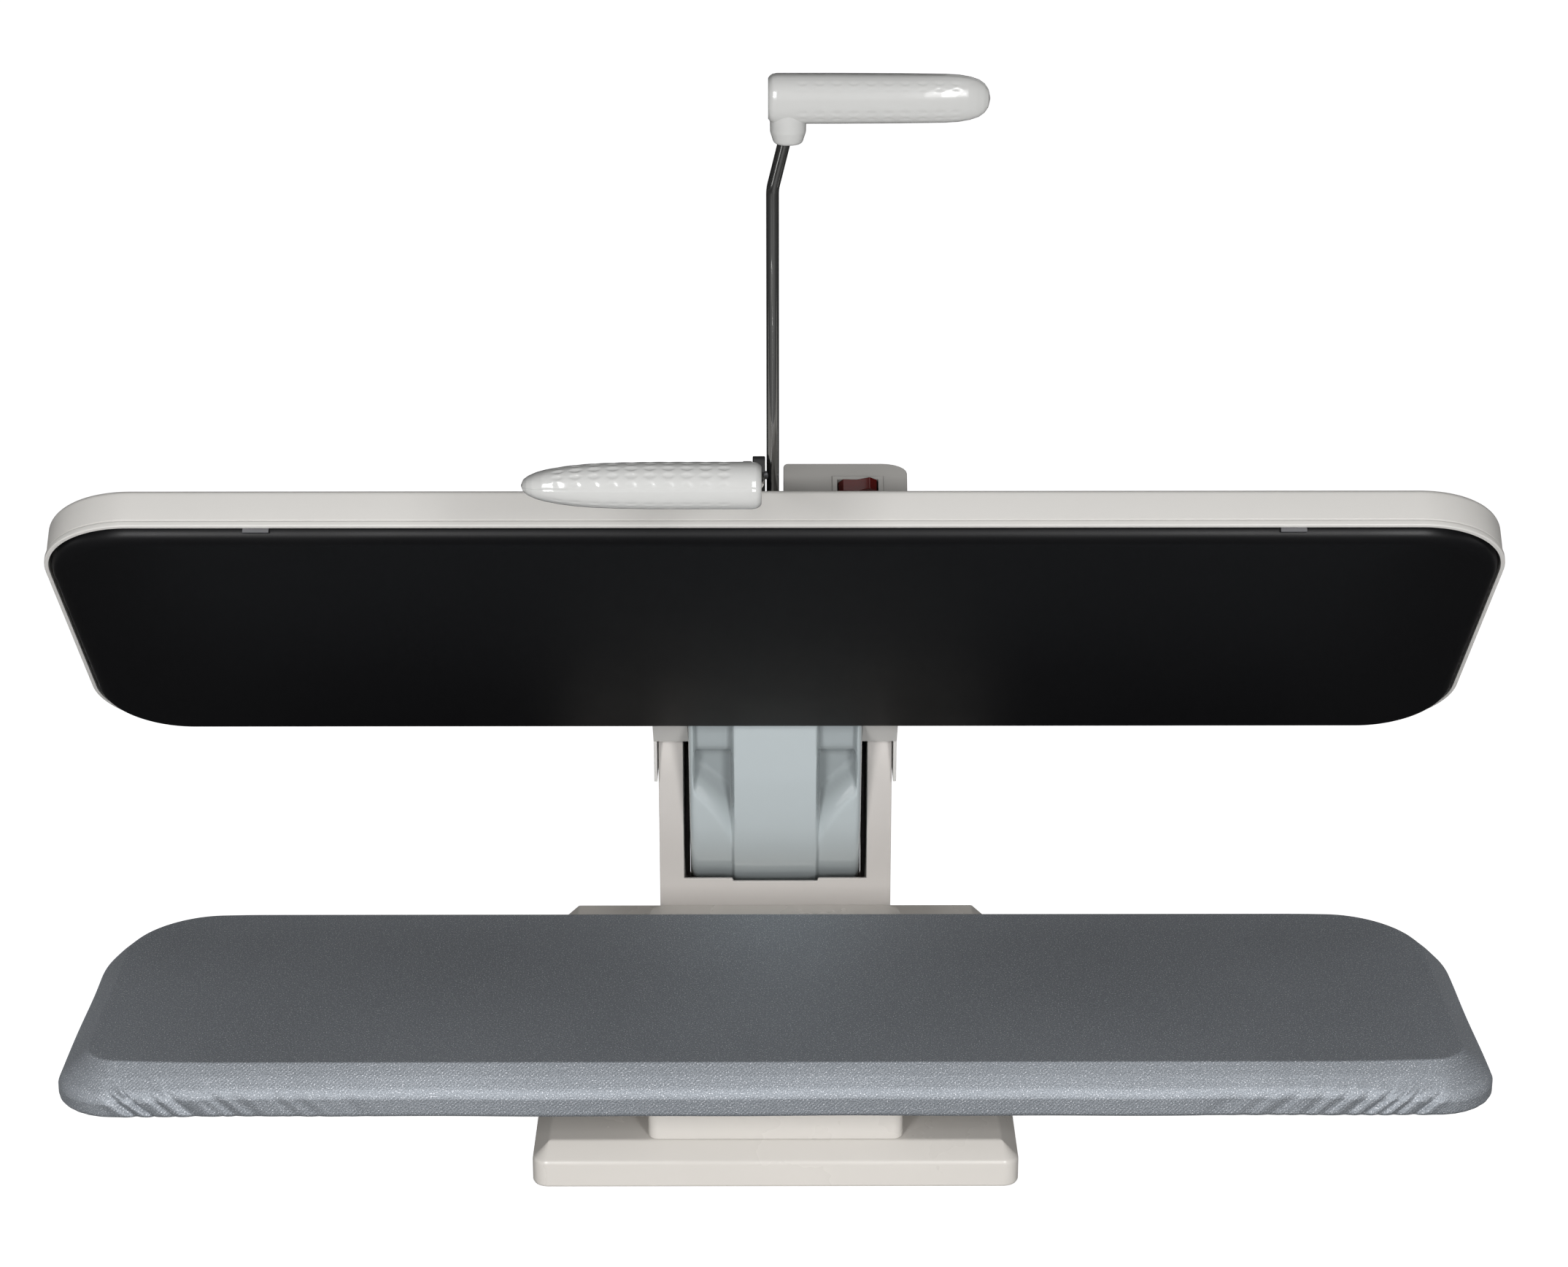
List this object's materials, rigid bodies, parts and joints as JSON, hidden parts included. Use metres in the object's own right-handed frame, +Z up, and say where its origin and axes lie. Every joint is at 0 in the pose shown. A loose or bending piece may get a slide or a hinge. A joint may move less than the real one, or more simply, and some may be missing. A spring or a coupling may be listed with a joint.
{
  "type": "ironing press",
  "caption": "Table-top ironing press: padded board on a cream base, wide black hot plate raised on a hinged arm, with two folding press levers.",
  "frame": {"origin": "bottom centre of the bounding box, on the floor plane under the feet", "axes": "+X along the board's long side, to the right of the user; -Y towards the user; +Z up"},
  "size_m": [1.03, 0.6415, 0.7921],
  "materials": {
    "base_plastic": "glossy cream",
    "column_plastic": "glossy warm grey",
    "casing_plastic": "satin warm grey",
    "box_plastic": "satin grey",
    "grip_plastic": "glossy pale grey",
    "arm_enamel": "glossy blue-grey enamel on cast aluminium",
    "sole_coating": "black non-stick coat on aluminium",
    "cover_cloth": "silver-coated cloth",
    "pale_felt": "pale felt and foam",
    "plain_steel": "plain zinc-plated steel",
    "thin_aluminium": "plain sheet",
    "chromed_rod": "polished",
    "bearing_bronze": "sintered bronze",
    "black_plastic": "satin black",
    "black_rubber": "matte",
    "switch_red": "translucent dark red",
    "cream_ceramic": "unglazed"
  },
  "bodies": {
    "stand": {"base_shell": "base_plastic", "base_plate": "plain_steel", "rubber_foot_1": "black_rubber", "rubber_foot_2": "black_rubber", "rubber_foot_3": "black_rubber", "rubber_foot_4": "black_rubber", "cord_gland": "black_plastic", "terminal_block": "cream_ceramic", "pedestal": "base_plastic", "board_bar": "plain_steel", "board_pan": "thin_aluminium", "foam_pad": "pale_felt", "board_cover": "cover_cloth", "column_housing": "column_plastic", "column_back_cover": "column_plastic", "hinge_frame": "plain_steel", "frame_bolt_1": "plain_steel", "frame_bolt_2": "plain_steel", "hinge_shaft": "plain_steel", "shaft_clip_left": "black_plastic", "shaft_clip_right": "black_plastic", "stop_bar": "plain_steel", "stop_sleeve": "black_rubber", "lift_spring": "plain_steel"},
    "head": {"head_casing": "casing_plastic", "casing_spacer_1": "plain_steel", "casing_spacer_2": "plain_steel", "casing_screw_1": "plain_steel", "casing_screw_2": "plain_steel", "plate_clip_1": "plain_steel", "plate_clip_2": "plain_steel", "clip_screw_1": "plain_steel", "clip_screw_2": "plain_steel", "sole_plate": "sole_coating", "heat_shield": "thin_aluminium", "heating_element": "plain_steel", "insulation_mat": "pale_felt", "thermostat": "cream_ceramic", "head_arm": "arm_enamel", "arm_spine": "plain_steel", "hinge_bush_left": "bearing_bronze", "hinge_bush_right": "bearing_bronze", "spine_screw_1": "plain_steel", "spine_screw_2": "plain_steel", "rear_hood": "casing_plastic", "control_box": "box_plastic", "switch_bezel": "box_plastic", "lever_bracket": "black_plastic", "bracket_screw_1": "plain_steel", "bracket_screw_2": "plain_steel", "pivot_pin": "plain_steel"},
    "switch": {"power_switch": "switch_red"},
    "right_lever": {"right_rod": "chromed_rod", "right_grip_front": "grip_plastic", "right_grip_back": "grip_plastic"},
    "left_lever": {"left_rod": "chromed_rod", "left_hub": "black_plastic", "left_grip_front": "grip_plastic", "left_grip_back": "grip_plastic"}
  },
  "joints": [
    {"name": "head_hinge", "type": "hinge", "parent": "stand", "child": "head", "pos_m": [0, 0.2196, 0.1994], "axis": [1, 0, 0], "range_deg": [0, 46], "stiffness_Nm_per_rad": 23, "springref_deg": -114.59},
    {"name": "power_switch", "type": "hinge", "parent": "head", "child": "switch", "pos_m": [0.0585, -0.07985, 0.50529], "axis": [0, 0.7266, 0.6871], "range_deg": [0, 18]},
    {"name": "right_lever", "type": "hinge", "parent": "head", "child": "right_lever", "pos_m": [-0.0065, -0.04173, 0.50281], "axis": [1, 0, 0], "range_deg": [0, 74]},
    {"name": "left_lever", "type": "hinge", "parent": "head", "child": "left_lever", "pos_m": [-0.0065, -0.04173, 0.50281], "axis": [1, 0, 0], "range_deg": [-74, 0]}
  ]
}
